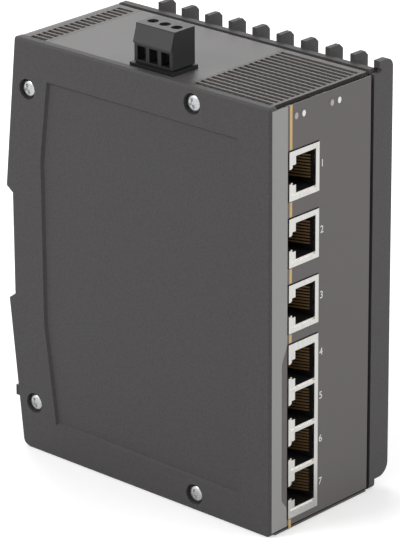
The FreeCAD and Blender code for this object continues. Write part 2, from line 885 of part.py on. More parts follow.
def heat_sink():
    body = new_body("heat_sink")
    ledge = sketch_on(body, "YZ_Plane", "case_right")
    add_rectangle(ledge, ("groove_front", "case_back - groove_deep / 2"),
                  ("case_drop + groove_deep / 2", "case_top - groove_deep"))
    pad(body, ledge, "groove_wide")
    plate = sketch_on(body, "YZ_Plane", "sink_left")
    add_outline(plate, PLATE_OUTLINE)
    pad(body, plate, "sink_thick")
    round_plate_corners(body)

    fins = sketch_on(body, "XY_Plane", "fin_low")
    for index in range(FIN_COUNT):
        thick = "fin_thick" if index else "fin_first_thick"
        front = f"{index} * fin_pitch"
        add_rectangle(fins, ("fin_root", "fin_tip"), (front, f"{front} + {thick}"))
    pad(body, fins, "plate_high + fin_rise - fin_low")
    tip = size("fin_tip")
    first_mid = size("fin_first_thick") / 2
    corners = {
        "fin_round_top": size("plate_high") + size("fin_rise"),
        "fin_round_low": size("fin_low"),
    }
    # The fin that shows has round corners, and the like corners behind it are bevelled
    for radius, height in corners.items():
        round_edges(body, radius, lambda edge, z=height: (
            runs_along(edge, Y_AXIS) and lies_at(edge, x=tip, y=first_mid, z=z)))
        bevel_edges(body, f"{radius} / 2", lambda edge, z=height: (
            runs_along(edge, Y_AXIS) and lies_at(edge, x=tip, z=z)))

    notch = sketch_on(body, "XZ_Plane", "0")
    notch_mid = "panel_top + notch_tall / 2 - panel_gap"
    add_rectangle(notch, ("sink_left", "sink_left + notch_long"), about(notch_mid, "notch_tall / 2"))
    pocket(body, notch, "notch_deep")
    notch_end = sketch_on(body, "XZ_Plane", "0")
    add_circle(notch_end, ("sink_left + notch_long", notch_mid), "notch_tall / 2")
    pocket(body, notch_end, "notch_deep")

    # Two raised blocks reach in to the hot chips
    blocks = sketch_on(body, "YZ_Plane", "case_right - block_proud")
    for front, low_edge, wide in HOT_CHIPS:
        add_rectangle(blocks, (f"{front} - block_spare", f"{front} + {wide} + block_spare"),
                      (f"{low_edge} - block_spare", f"{low_edge} + {wide} + block_spare"))
    pad(body, blocks, "block_proud")

    holes = sketch_on(body, "YZ_Plane", "case_right")
    for spot in TIE_SPOTS:
        add_many_sided(holes, spot, "tie_radius + tie_free / 2")
    pocket(body, holes, "tie_bite + tie_free", reverse=True)


# Network sockets


def ports_of(middle, count):
    """Middle heights of the ports in one socket block."""
    return [f"({middle}) + ({count - 1} / 2 - {index}) * port_pitch" for index in range(count)]


def jack(ending, middle, half, count):
    """One tin shell, its plastic insert and the contact wires in it."""
    outer = box(("jack_left", "jack_right"), ("0 - jack_proud", "jack_deep"), about(middle, half))
    inner_tall = about(middle, f"{half} - jack_skin")
    tools = [box(("jack_left + jack_skin", "jack_right + jack_skin"),
                 ("jack_skin", "jack_deep - jack_skin"), inner_tall)]
    mouth = ("0 - 2 * jack_proud", "2 * jack_skin")
    near = "jack_left + port_near"
    far = "jack_left + port_far"
    for port in ports_of(middle, count):
        tools.append(box((near, far), mouth, about(port, "port_half")))
        tools.append(box(("jack_left + latch_outer", near), mouth,
                         about(port, "latch_inner_half")))
        tools.append(box(("jack_left - jack_skin", "jack_left + latch_outer"), mouth,
                         about(port, "latch_half")))
        tools.append(box(("jack_left + rim_near", far), ("0 - 2 * jack_proud", "rim_deep - jack_proud"),
                         about(port, "rim_half")))
    keep(cut(outer, *tools), "jack_shell_" + ending)

    insert = box(("jack_left + jack_skin + jack_gap", "jack_right"),
                 ("jack_skin + jack_gap", "jack_deep - jack_skin - jack_gap"),
                 about(middle, f"{half} - jack_skin - jack_gap"))
    tools = []
    wires = []
    for port in ports_of(middle, count):
        tools.append(box((near, far), ("0", "port_deep"), about(port, "port_half")))
        tools.append(box(("jack_left + latch_outer", near), ("0", "latch_deep"),
                         about(port, "latch_inner_half")))
        tools.append(box(("jack_left", "jack_left + latch_outer"), ("0", "latch_deep"),
                         about(port, "latch_half")))
        for index in range(WIRES_PER_PORT):
            side = f"({index} - {WIRES_PER_PORT - 1} / 2) * wire_pitch"
            wires.append(contact_wire(far, f"{port} + {side}"))
    keep(cut(insert, *tools), "jack_insert_" + ending)
    group("jack_wires_" + ending, *wires)


def contact_wire(x, middle):
    """A springy wire that leans from the wall of a port into its mouth."""
    item = doc.addObject("Part::Box", "Wire")
    item.Placement.Rotation = FreeCAD.Rotation(Z_AXIS, 0)
    item.setExpression("Placement.Rotation.Angle", rule("wire_angle"))
    tie(item, Length="wire_long", Width="wire_thick", Height="wire_wide")
    place(item, x, "wire_start", f"{middle} - wire_wide / 2")
    return item


def network_sockets():
    for number, middle in enumerate(SINGLE_JACKS, start=1):
        jack(str(number), middle, "jack_tall / 2", 1)
    jack("block", "block_centre", "block_tall / 2", PORTS_IN_BLOCK)


# Boards and what they carry

POST_SPOTS = [
    ("post_front", "post_low"),
    ("post_back", "post_low"),
    ("post_back", "post_top"),
    ("post_front", "post_top"),
]


def hexagon_post(start, spot, length):
    item = doc.addObject("Part::Prism", "Post")
    item.Polygon = HEXAGON
    item.Placement.Rotation = TURNS["x"]
    tie(item, Circumradius="post_radius", Height=length)
    place(item, start, *spot)
    return item


def boards():
    """Two boards, with posts between them and from the second one to the heat sink."""
    group("port_board", box(("jack_right", "board_right"), ("board_front", "board_back"),
                            ("board_low", "board_top")))
    group("core_board", box(("core_left", "core_right"), ("core_front", "board_back"),
                            ("board_low", "board_top")))
    group("near_posts", *[hexagon_post("board_right", spot, "core_left - board_right")
                          for spot in POST_SPOTS])
    group("far_posts", *[hexagon_post("core_right", spot, "case_right - core_right")
                         for spot in POST_SPOTS])


def on_core_board(thick, front, low, deep, tall):
    """A block on the side of the core board that faces the heat sink."""
    return box(("core_right", f"core_right + {thick}"), (front, f"{front} + {deep}"),
               (low, f"{low} + {tall}"))


def behind_core_board(thick, front, low, deep, tall):
    """A block on the side of the core board that faces the port board."""
    return box((f"core_left - {thick}", "core_left"), (front, f"{front} + {deep}"),
               (low, f"{low} + {tall}"))


def chips():
    magnets = []
    for port in SINGLE_JACKS + ports_of("block_centre", PORTS_IN_BLOCK):
        magnets.append(box(("jack_right - magnet_thick", "jack_right"),
                           ("magnet_front", "magnet_front + magnet_deep"),
                           about(port, "magnet_tall / 2")))
    group("port_transformers", *magnets)

    thicknesses = ("switch_chip_thick", "core_chip_thick")
    for label, thick, (front, low, wide) in zip(("switch_chip", "core_chip"), thicknesses, HOT_CHIPS):
        group(label, on_core_board(thick, front, low, wide, wide))
        pad_span = (f"core_right + {thick}", "case_right - block_proud")
        group(label + "_pad", box(pad_span, (front, f"{front} + {wide}"), (low, f"{low} + {wide}")))
    memory = [on_core_board("memory_thick", "memory_front", f"core_chip_low + {index} * memory_apart",
                            "memory_wide", "memory_tall") for index in range(2)]
    group("memory_chips", *memory)
    group("crystal", on_core_board("crystal_thick", "crystal_front", "switch_chip_low",
                                   "crystal_wide", "crystal_long"))


def power_parts():
    group("power_transformer", behind_core_board("transformer_thick", "transformer_front",
                                                 "transformer_low", "transformer_deep",
                                                 "transformer_tall"))
    group("power_coil", behind_core_board("coil_thick", "coil_front", "coil_low",
                                          "coil_wide", "coil_wide"))
    cans = [bar("x", ("core_left - can_long", "can_front", f"can_low + {index} * can_apart"),
                "can_radius", "can_long") for index in range(CAPACITORS)]
    group("capacitors", *cans)
    group("board_link", box(("board_right", "core_left"), ("link_front", "link_front + link_deep"),
                            ("link_low", "link_low + link_tall")))


# Power socket and its screw plug

POLES = [f"pole_mid + {index - POLE_COUNT // 2} * pole_pitch" for index in range(POLE_COUNT)]


def power_header():
    """The socket in the top of the case, on legs that reach the port board."""
    span_y = about("pole_mid", "header_deep / 2")
    tools = [box(("header_left + header_wall", "header_right - header_wall"),
                 about("pole_mid", "header_deep / 2 - header_wall"),
                 ("header_floor", "header_top + header_wall"))]
    pins = []
    for pole in POLES:
        tools.append(box(about("pin_aside", "pin_wide / 2 + pin_gap"),
                         about(pole, "pin_wide / 2 + pin_gap"), ("header_low", "header_floor")))
        across = about(pole, "pin_wide / 2")
        upright = box(about("pin_aside", "pin_wide / 2"), across, ("pin_low", "pin_top"))
        tail = box(("pin_aside", "jack_right"), across, ("pin_low", "pin_low + pin_wide"))
        pins.append(fuse(upright, tail))
    shroud = cut(box(("header_left", "header_right"), span_y, ("header_low", "header_top")), *tools)
    leg_z = ("header_leg_low", "header_leg_top")
    leg_x = ("header_right", "jack_right")
    front_leg = box(leg_x, (span_y[0], f"{span_y[0]} + header_leg"), leg_z)
    rear_leg = box(leg_x, (f"{span_y[1]} - header_leg", span_y[1]), leg_z)
    keep(fuse(shroud, front_leg, rear_leg), "power_header")
    group("header_pins", *pins)


def power_plug():
    body = new_body("plug_body")
    front = "pole_mid - plug_deep / 2"
    block = sketch_on(body, "XZ_Plane", f"0 - ({front})")
    add_outline(block, [
        ("plug_left", "plug_low"),
        ("plug_right", "plug_low"),
        ("plug_right", "plug_top"),
        ("plug_left + plug_slope", "plug_top"),
        ("plug_left", "plug_shoulder"),
    ])
    pad(body, block, "plug_deep", reverse=True)
    inset = "(header_wall + tongue_gap)"
    tongue = sketch_on(body, "XY_Plane", "tongue_low")
    add_rectangle(tongue, (f"header_left + {inset}", f"header_right - {inset}"),
                  about("pole_mid", f"header_deep / 2 - {inset}"))
    pad(body, tongue, "plug_low - tongue_low")

    rooms = sketch_on(body, "XY_Plane", "room_top")
    entries = sketch_on(body, "YZ_Plane", "plug_left")
    heads = sketch_on(body, "XY_Plane", "plug_top")
    shanks = sketch_on(body, "XY_Plane", "plug_top")
    sockets = sketch_on(body, "XY_Plane", "tongue_low")
    for pole in POLES:
        add_rectangle(rooms, ("room_left", "room_right"), about(pole, "cage_wide / 2 + cage_gap"))
        add_rectangle(entries, about(pole, "entry_wide / 2"),
                      ("entry_low", "entry_low + entry_tall"))
        add_many_sided(heads, ("cage_mid", pole), "clamp_hole_radius", VISIBLE_SIDES)
        add_many_sided(shanks, ("cage_mid", pole), "clamp_screw_radius + clamp_screw_free")
        add_rectangle(sockets, ("pin_aside - pin_wide - socket_room", "room_right"),
                      about(pole, "contact_half + socket_room"))
    pocket(body, rooms, "room_top - room_low")
    pocket(body, entries, "room_left - plug_left + cage_gap", reverse=True)
    pocket(body, heads, "plug_top - room_top - clamp_shelf")
    pocket(body, shanks, "plug_top - room_top")
    pocket(body, sockets, "room_low - tongue_low", reverse=True)


def plug_contacts():
    """Bent strips from each clamp down to a pair of leaves that grip the header's pin."""
    contacts = []
    for pole in POLES:
        whole = about(pole, "contact_half")
        bar_low = "cage_low + tie_bar_rise"
        bar = box(("room_left + cage_gap", "leg_right"), whole,
                  (bar_low, f"{bar_low} + tie_bar_thick"))
        leg = box(("leg_left", "leg_right"), whole, ("socket_top - tie_bar_thick", bar_low))
        foot = box(("pin_aside - pin_wide", "leg_right"), whole,
                   ("socket_top - tie_bar_thick", "socket_top"))
        leaves = []
        for side in ("-", "+"):
            near_side = f"{pole} {side} (pin_wide / 2 + socket_gap)"
            far_side = f"{pole} {side} contact_half"
            span = (far_side, near_side) if side == "-" else (near_side, far_side)
            leaves.append(box(about("pin_aside", "pin_wide"), span, ("socket_low", "socket_top")))
        contacts.append(fuse(bar, leg, foot, *leaves))
    group("plug_contacts", *contacts)


def wire_clamps():
    """Each pole's screw and the cage that it lifts to grip a wire."""
    for number, pole in enumerate(POLES, start=1):
        outer = box(about("cage_mid", "cage_long / 2"), about(pole, "cage_wide / 2"),
                    ("cage_low", "cage_low + cage_tall"))
        window = box(about("cage_mid", "cage_long"), about(pole, "cage_wide / 2 - cage_cheek"),
                     ("cage_low + cage_bar", "cage_low + cage_tall - cage_bar"))
        hole = bar("z", ("cage_mid", pole, "cage_low + cage_tall - 2 * cage_bar"),
                   "clamp_screw_radius + clamp_screw_free", "2 * cage_bar")
        keep(cut(outer, window, hole), f"clamp_cage_{number}")
        seat = "room_top + clamp_shelf"
        head = rod("z", ("cage_mid", pole, seat), "clamp_head_radius", "clamp_head_thick")
        shank = bar("z", ("cage_mid", pole, f"{seat} - clamp_screw_long"),
                    "clamp_screw_radius", "clamp_screw_long")
        keep(fuse(head, shank), f"clamp_screw_{number}")


# Rail fixing


def rail_fixing():
    """The plate on the rear wall, with a fixed hook over the rail's upper edge."""
    body = new_body("rail_fixing")
    left = "case_mid - fixing_wide / 2"
    plate = sketch_on(body, "XZ_Plane", "0 - case_back")
    add_rectangle(plate, about("case_mid", "fixing_wide / 2"), ("fixing_low", "fixing_top"))
    pad(body, plate, "fixing_back - case_back", reverse=True)
    hook = sketch_on(body, "YZ_Plane", left)
    add_outline(hook, [
        ("fixing_back", "seat_top + hook_shelf"),
        ("seat_deep + hook_throat", "seat_top + hook_shelf"),
        ("seat_deep + hook_throat", "seat_top - hook_lip"),
        ("seat_deep + hook_reach", "seat_top - hook_lip + hook_slope"),
        ("seat_deep + hook_reach", "fixing_top - hook_reach"),
        ("fixing_back", "fixing_top"),
    ])
    pad(body, hook, "fixing_wide")

    # The rail bears on a raised land, which ends short of the hook's lip and the foot's
    land = sketch_on(body, "XZ_Plane", "0 - fixing_back")
    add_rectangle(land, about("case_mid", "fixing_wide / 2"),
                  ("foot_top + foot_lip_rise + land_gap", "seat_top - hook_lip - land_gap"))
    pad(body, land, "land_rise", reverse=True)

    # The foot slides in a slot that is wider against the case than at the rail
    channel_top = "foot_top + foot_gap"
    deep_slot = sketch_on(body, "XZ_Plane", "0 - case_back")
    add_rectangle(deep_slot, about("case_mid", "foot_wide / 2 + foot_gap"),
                  ("fixing_low", channel_top))
    pocket(body, deep_slot, "neck_front + foot_gap - case_back")
    open_slot = sketch_on(body, "XZ_Plane", "0 - case_back")
    add_rectangle(open_slot, about("case_mid", "foot_neck_wide / 2 + foot_gap"),
                  ("fixing_low", channel_top))
    pocket(body, open_slot, "fixing_back - case_back")

    sinks = sketch_on(body, "XZ_Plane", "0 - seat_deep")
    holes = sketch_on(body, "XZ_Plane", "0 - seat_deep")
    for spot in FIXING_SPOTS:
        add_many_sided(sinks, spot, "fixing_screw_head + fixing_screw_free")
        add_many_sided(holes, spot, "fixing_screw_radius + fixing_screw_free")
    pocket(body, sinks, "fixing_screw_head_thick + fixing_screw_free", reverse=True)
    pocket(body, holes, "seat_deep - case_back", reverse=True)


def fixing_screws():
    screws = []
    for x, z in FIXING_SPOTS:
        seat = "(seat_deep - fixing_screw_head_thick - fixing_screw_free)"
        head = bar("y", (x, seat, z), "fixing_screw_head", "fixing_screw_head_thick")
        shank = bar("y", (x, "rear_inner", z), "fixing_screw_radius", f"{seat} - rear_inner")
        screws.append(fuse(head, shank))
    group("fixing_screws", *screws)


def rail_foot():
    """The foot that slides down to free the rail, with a pull bar across its lower end."""
    body = new_body("rail_foot")
    height = ("foot_low", "foot_top")
    flange = sketch_on(body, "XZ_Plane", "0 - case_back - foot_gap")
    add_rectangle(flange, about("case_mid", "foot_wide / 2"), height)
    pad(body, flange, "foot_flange_thick", reverse=True)
    neck = sketch_on(body, "XZ_Plane", "0 - neck_front")
    add_rectangle(neck, about("case_mid", "foot_neck_wide / 2"), height)
    pad(body, neck, "neck_back - neck_front", reverse=True)
    nose = sketch_on(body, "YZ_Plane", "case_mid - foot_neck_wide / 2")
    add_outline(nose, [
        ("neck_back", "foot_nose_low"),
        ("seat_deep + hook_throat", "foot_nose_low"),
        ("seat_deep + hook_reach", "foot_nose_low + hook_slope"),
        ("seat_deep + hook_reach", "foot_top + foot_lip_rise - hook_slope"),
        ("seat_deep + hook_throat", "foot_top + foot_lip_rise"),
        ("seat_deep + hook_throat", "foot_top"),
        ("neck_back", "foot_top"),
    ])
    pad(body, nose, "foot_neck_wide")
    bar = sketch_on(body, "XZ_Plane", "0 - neck_back")
    add_rectangle(bar, about("case_mid", "foot_bar_wide / 2"), ("foot_low", "foot_low + foot_bar_tall"))
    pad(body, bar, "foot_bar_back - neck_back", reverse=True)
    window = sketch_on(body, "XZ_Plane", "0 - case_back")
    add_rectangle(window, about("case_mid", "window_wide / 2"), ("window_low", "window_top"))
    pocket(body, window, "neck_back - case_back")


def foot_spring():
    """A flat spring folded to and fro between the case's stop and the foot's window."""
    low = "(stop_low + stop_tall)"
    pitch = f"(window_top - {low} - spring_strip) / {SPRING_FOLDS - 1}"
    middle_y = "(case_back + neck_back) / 2"
    deep = about(middle_y, "spring_thick / 2")
    left, right = about("case_mid", "spring_wide / 2")
    pieces = []
    for index in range(SPRING_FOLDS):
        start = f"{low} + {index} * {pitch}"
        pieces.append(box((left, right), deep, (start, f"{start} + spring_strip")))
        if index:
            turn = (left, f"{left} + spring_strip") if index % 2 else (f"{right} - spring_strip", right)
            pieces.append(box(turn, deep, (f"{start} - {pitch}", start)))
    keep(fuse(*pieces), "foot_spring")


side_cover()
tie_screws()
case_shell()
air_grilles()
front_panel()
lamps()
heat_sink()
network_sockets()
boards()
chips()
power_parts()
power_header()
power_plug()
plug_contacts()
wire_clamps()
rail_fixing()
fixing_screws()
rail_foot()
foot_spring()
doc.recompute()

for item in doc.Objects:
    faults = [state for state in item.State if state in ("Invalid", "Error")]
    if faults:
        raise RuntimeError(f"{item.Label} failed to build: {item.getStatusString()}")
    if item.TypeId == "PartDesign::Pocket" and item.Shape.Volume > item.BaseFeature.Shape.Volume - NEAR:
        raise RuntimeError(f"{item.Label} cuts nothing")
for item in kept:
    if item.Shape.isNull() or not item.Shape.isValid():
        raise RuntimeError(f"{item.Label} has no valid shape")

os.makedirs("parts", exist_ok=True)
for item in kept:
    item.Shape.exportStep(f"parts/{item.Label}.step")
    print(f"{item.Label:20} {len(item.Shape.Solids):3} solids {item.Shape.Volume:10.1f} mm3")
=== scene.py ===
"""A rail-mounted network switch: finishes, printed marks and small hardware over its frame."""

import json
import logging
import math
from dataclasses import dataclass, field
from enum import Enum

import bmesh
import bpy
from mathutils import Euler, Matrix, Vector


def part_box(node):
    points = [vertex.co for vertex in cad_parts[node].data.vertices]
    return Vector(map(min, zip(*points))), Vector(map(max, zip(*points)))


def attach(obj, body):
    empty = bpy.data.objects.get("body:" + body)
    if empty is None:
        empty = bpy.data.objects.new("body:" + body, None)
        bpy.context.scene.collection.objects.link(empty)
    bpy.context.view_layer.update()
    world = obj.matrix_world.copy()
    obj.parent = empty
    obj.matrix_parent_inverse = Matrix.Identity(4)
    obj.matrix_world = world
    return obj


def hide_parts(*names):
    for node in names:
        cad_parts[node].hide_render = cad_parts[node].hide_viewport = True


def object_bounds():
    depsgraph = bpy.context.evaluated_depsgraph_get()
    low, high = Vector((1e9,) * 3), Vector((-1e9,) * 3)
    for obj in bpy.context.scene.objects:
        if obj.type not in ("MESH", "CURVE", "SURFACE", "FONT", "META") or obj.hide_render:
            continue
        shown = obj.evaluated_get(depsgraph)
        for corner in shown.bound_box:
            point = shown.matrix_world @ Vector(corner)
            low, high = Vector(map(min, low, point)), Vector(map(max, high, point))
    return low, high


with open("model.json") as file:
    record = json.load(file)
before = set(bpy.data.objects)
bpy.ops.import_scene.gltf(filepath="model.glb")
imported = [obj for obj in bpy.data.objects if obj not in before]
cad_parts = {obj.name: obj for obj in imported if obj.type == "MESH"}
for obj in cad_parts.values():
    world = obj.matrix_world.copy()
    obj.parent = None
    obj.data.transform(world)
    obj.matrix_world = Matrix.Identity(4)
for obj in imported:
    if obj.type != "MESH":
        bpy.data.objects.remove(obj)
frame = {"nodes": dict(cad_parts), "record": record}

CAD_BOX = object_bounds()
LOG = logging.getLogger("switch")
MM = 0.001
WELD = 1e-6
SHARP_ANGLE = math.radians(35)
EVEN = (1.0, 1.0, 1.0)
BRUSHED_ALONG_Z = (1.0, 1.0, 0.04)
Colour = tuple[float, float, float]
Point = tuple[float, float]
Span = tuple[float, float]


class Grain(Enum):
    """How a surface is broken up at close range."""

    SAND = "sand"
    MOULDED = "moulded"
    BRUSHED = "brushed"


class Lamp(Enum):
    """Whether an indicator is lit."""

    DIM = "dim"
    LIT = "lit"


# Shared shader effects


def new_group(name: str, inputs: dict[str, tuple[str, object]],
              outputs: dict[str, str]) -> bpy.types.ShaderNodeTree:
    """Start a shader node group with named sockets.

    Args:
        name: The group's name.
        inputs: Socket type and default value of each input, by name.
        outputs: Socket type of each output, by name.

    Returns:
        The group, with its Group Input and Group Output nodes named "in" and "out".
    """
    group = bpy.data.node_groups.new(name, "ShaderNodeTree")
    for label, (kind, value) in inputs.items():
        socket = group.interface.new_socket(label, in_out="INPUT", socket_type=kind)
        socket.default_value = value
    for label, kind in outputs.items():
        group.interface.new_socket(label, in_out="OUTPUT", socket_type=kind)
    group.nodes.new("NodeGroupInput").name = "in"
    group.nodes.new("NodeGroupOutput").name = "out"
    return group


def grain_group() -> bpy.types.ShaderNodeTree:
    """Build the fine relief of a painted or moulded surface.

    Returns:
        A group that puts out a height and a mask of its low spots.
    """
    group = new_group(
        "surface_grain",
        {"Scale": ("NodeSocketFloat", 1800.0), "Stretch": ("NodeSocketVector", EVEN)},
        {"Height": "NodeSocketFloat", "Pits": "NodeSocketFloat"})
    nodes, links = group.nodes, group.links
    place = nodes.new("ShaderNodeTexCoord")
    stretch = nodes.new("ShaderNodeVectorMath")
    stretch.operation = "MULTIPLY"
    noise = nodes.new("ShaderNodeTexNoise")
    noise.inputs["Detail"].default_value = 3.0
    noise.inputs["Roughness"].default_value = 0.6
    pits = nodes.new("ShaderNodeMapRange")
    pits.inputs["From Min"].default_value = 0.35
    pits.inputs["From Max"].default_value = 0.55
    pits.inputs["To Min"].default_value = 1.0
    pits.inputs["To Max"].default_value = 0.0
    links.new(place.outputs["Object"], stretch.inputs[0])
    links.new(nodes["in"].outputs["Stretch"], stretch.inputs[1])
    links.new(stretch.outputs["Vector"], noise.inputs["Vector"])
    links.new(nodes["in"].outputs["Scale"], noise.inputs["Scale"])
    links.new(noise.outputs["Fac"], pits.inputs["Value"])
    links.new(noise.outputs["Fac"], nodes["out"].inputs["Height"])
    links.new(pits.outputs["Result"], nodes["out"].inputs["Pits"])
    return group


def drift_group() -> bpy.types.ShaderNodeTree:
    """Build a slow change of roughness over a large surface, and a colour darker in the grain's
    pits.

    Returns:
        A group that puts out a colour and a roughness.
    """
    group = new_group(
        "tone_drift",
        {
            "Colour": ("NodeSocketColor", (0.5, 0.5, 0.5, 1.0)),
            "Pit Colour": ("NodeSocketColor", (0.3, 0.3, 0.3, 1.0)),
            "Pits": ("NodeSocketFloat", 0.0),
            "Pit Amount": ("NodeSocketFloat", 0.3),
            "Roughness": ("NodeSocketFloat", 0.5),
            "Spread": ("NodeSocketFloat", 0.06),
            "Scale": ("NodeSocketFloat", 22.0),
        },
        {"Colour": "NodeSocketColor", "Roughness": "NodeSocketFloat"})
    nodes, links = group.nodes, group.links
    given = nodes["in"].outputs
    place = nodes.new("ShaderNodeTexCoord")
    clouds = nodes.new("ShaderNodeTexNoise")
    clouds.inputs["Detail"].default_value = 4.0
    amount = nodes.new("ShaderNodeMath")
    amount.operation = "MULTIPLY"
    tint = nodes.new("ShaderNodeMix")
    tint.data_type = "RGBA"
    centred = nodes.new("ShaderNodeMath")
    centred.operation = "SUBTRACT"
    centred.inputs[1].default_value = 0.5
    rough = nodes.new("ShaderNodeMath")
    rough.operation = "MULTIPLY_ADD"
    links.new(place.outputs["Object"], clouds.inputs["Vector"])
    links.new(given["Scale"], clouds.inputs["Scale"])
    links.new(given["Pits"], amount.inputs[0])
    links.new(given["Pit Amount"], amount.inputs[1])
    links.new(amount.outputs["Value"], tint.inputs["Factor"])
    links.new(given["Colour"], tint.inputs["A"])
    links.new(given["Pit Colour"], tint.inputs["B"])
    links.new(clouds.outputs["Fac"], centred.inputs[0])
    links.new(centred.outputs["Value"], rough.inputs[0])
    links.new(given["Spread"], rough.inputs[1])
    links.new(given["Roughness"], rough.inputs[2])
    links.new(tint.outputs["Result"], nodes["out"].inputs["Colour"])
    links.new(rough.outputs["Value"], nodes["out"].inputs["Roughness"])
    return group


@dataclass(frozen=True)
class Effects:
    """The shader groups that several finishes share."""

    grain: bpy.types.ShaderNodeTree
    drift: bpy.types.ShaderNodeTree


# Finishes


@dataclass(frozen=True)
class SolidFinish:
    """An opaque paint, plastic, metal or ink."""

    name: str
    colour: Colour
    pit_colour: Colour
    roughness: float
    metallic: float = 0.0
    specular: float = 0.5
    grain: Grain = Grain.MOULDED
    grain_scale: float = 1800.0
    relief: float = 0.03
    pit_amount: float = 0.3
    spread: float = 0.08

    def stretch(self) -> tuple[float, float, float]:
        """Return how far the grain is drawn out along each axis."""
        return BRUSHED_ALONG_Z if self.grain is Grain.BRUSHED else EVEN

    def build(self, effects: Effects) -> bpy.types.Material:
        """Build the material.

        Args:
            effects: The shared shader groups.

        Returns:
            The finished material.
        """
        material = bpy.data.materials.new(self.name)
        material.use_nodes = True
        nodes, links = material.node_tree.nodes, material.node_tree.links
        shader = nodes["Principled BSDF"]
        shader.inputs["Metallic"].default_value = self.metallic
        shader.inputs["Specular IOR Level"].default_value = self.specular
        grain = nodes.new("ShaderNodeGroup")
        grain.node_tree = effects.grain
        grain.inputs["Scale"].default_value = self.grain_scale
        grain.inputs["Stretch"].default_value = self.stretch()
        drift = nodes.new("ShaderNodeGroup")
        drift.node_tree = effects.drift
        drift.inputs["Colour"].default_value = (*self.colour, 1.0)
        drift.inputs["Pit Colour"].default_value = (*self.pit_colour, 1.0)
        drift.inputs["Pit Amount"].default_value = self.pit_amount
        drift.inputs["Roughness"].default_value = self.roughness
        drift.inputs["Spread"].default_value = self.spread
        bump = nodes.new("ShaderNodeBump")
        bump.inputs["Distance"].default_value = self.relief * MM
        bump.inputs["Strength"].default_value = 1.0
        links.new(grain.outputs["Pits"], drift.inputs["Pits"])
        links.new(grain.outputs["Height"], bump.inputs["Height"])
        links.new(drift.outputs["Colour"], shader.inputs["Base Color"])
        links.new(drift.outputs["Roughness"], shader.inputs["Roughness"])
        links.new(bump.outputs["Normal"], shader.inputs["Normal"])
        return material


@dataclass(frozen=True)
class LensFinish:
    """A frosted indicator window, clear or lit from behind."""

    name: str
    lamp: Lamp
    colour: Colour
    glow: float = 0.0
    roughness: float = 0.25
    pit_share: float = 0.92
    coat: float = 0.4
    grain_scale: float = 3000.0

    def build(self, effects: Effects) -> bpy.types.Material:
        """Build the material.

        Args:
            effects: The shared shader groups.

        Returns:
            The finished material.
        """
        material = bpy.data.materials.new(self.name)
        material.use_nodes = True
        nodes, links = material.node_tree.nodes, material.node_tree.links
        shader = nodes["Principled BSDF"]
        shader.inputs["Roughness"].default_value = self.roughness
        shader.inputs["Coat Weight"].default_value = self.coat
        if self.lamp is Lamp.LIT:
            shader.inputs["Emission Color"].default_value = (*self.colour, 1.0)
            shader.inputs["Emission Strength"].default_value = self.glow
        grain = nodes.new("ShaderNodeGroup")
        grain.node_tree = effects.grain
        grain.inputs["Scale"].default_value = self.grain_scale
        drift = nodes.new("ShaderNodeGroup")
        drift.node_tree = effects.drift
        drift.inputs["Colour"].default_value = (*self.colour, 1.0)
        pit_colour = tuple(self.pit_share * part for part in self.colour)
        drift.inputs["Pit Colour"].default_value = (*pit_colour, 1.0)
        links.new(grain.outputs["Pits"], drift.inputs["Pits"])
        links.new(drift.outputs["Colour"], shader.inputs["Base Color"])
        return material


